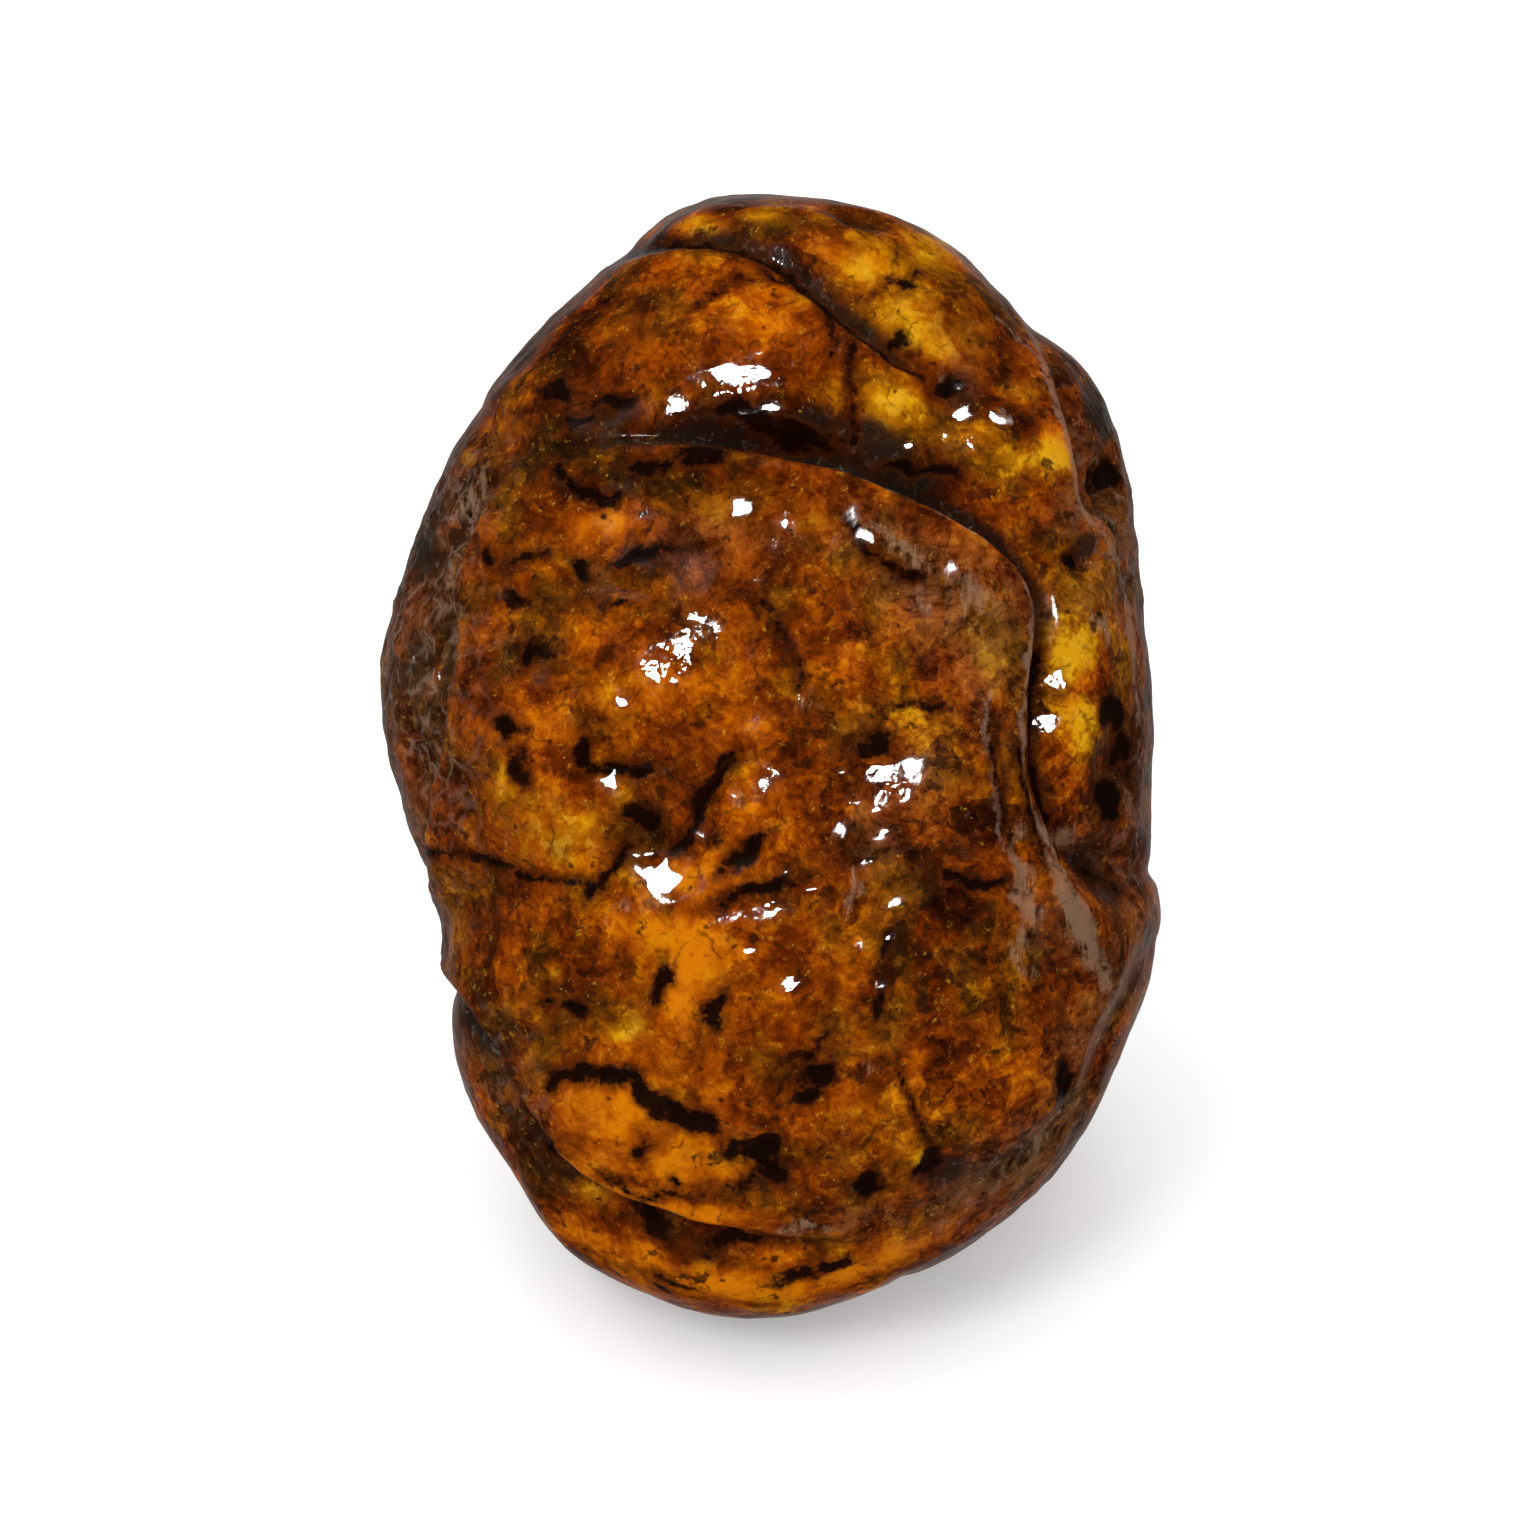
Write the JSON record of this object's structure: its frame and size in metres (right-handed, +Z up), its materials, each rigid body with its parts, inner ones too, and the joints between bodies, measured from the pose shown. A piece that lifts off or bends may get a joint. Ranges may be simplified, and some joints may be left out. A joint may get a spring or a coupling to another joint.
{
  "type": "raw amber piece",
  "caption": "Rounded natural lump of raw amber with folds, lobes and pits, standing on a small flat foot.",
  "frame": {"origin": "middle of the lump's box in plan, on the surface that its flat foot rests on", "axes": "+Z up; the broad face looks towards -Y and leans back by 35 degrees; +X to the right of a viewer of that face"},
  "size_m": [0.0505, 0.0549, 0.0643],
  "materials": {
    "amber": "raw amber with a wet gloss: orange-brown and honey-yellow, partly see-through, with dark brown seams, specks and a dull rind in the folds"
  },
  "bodies": {
    "root": {"amber_nugget": "amber"}
  },
  "joints": []
}
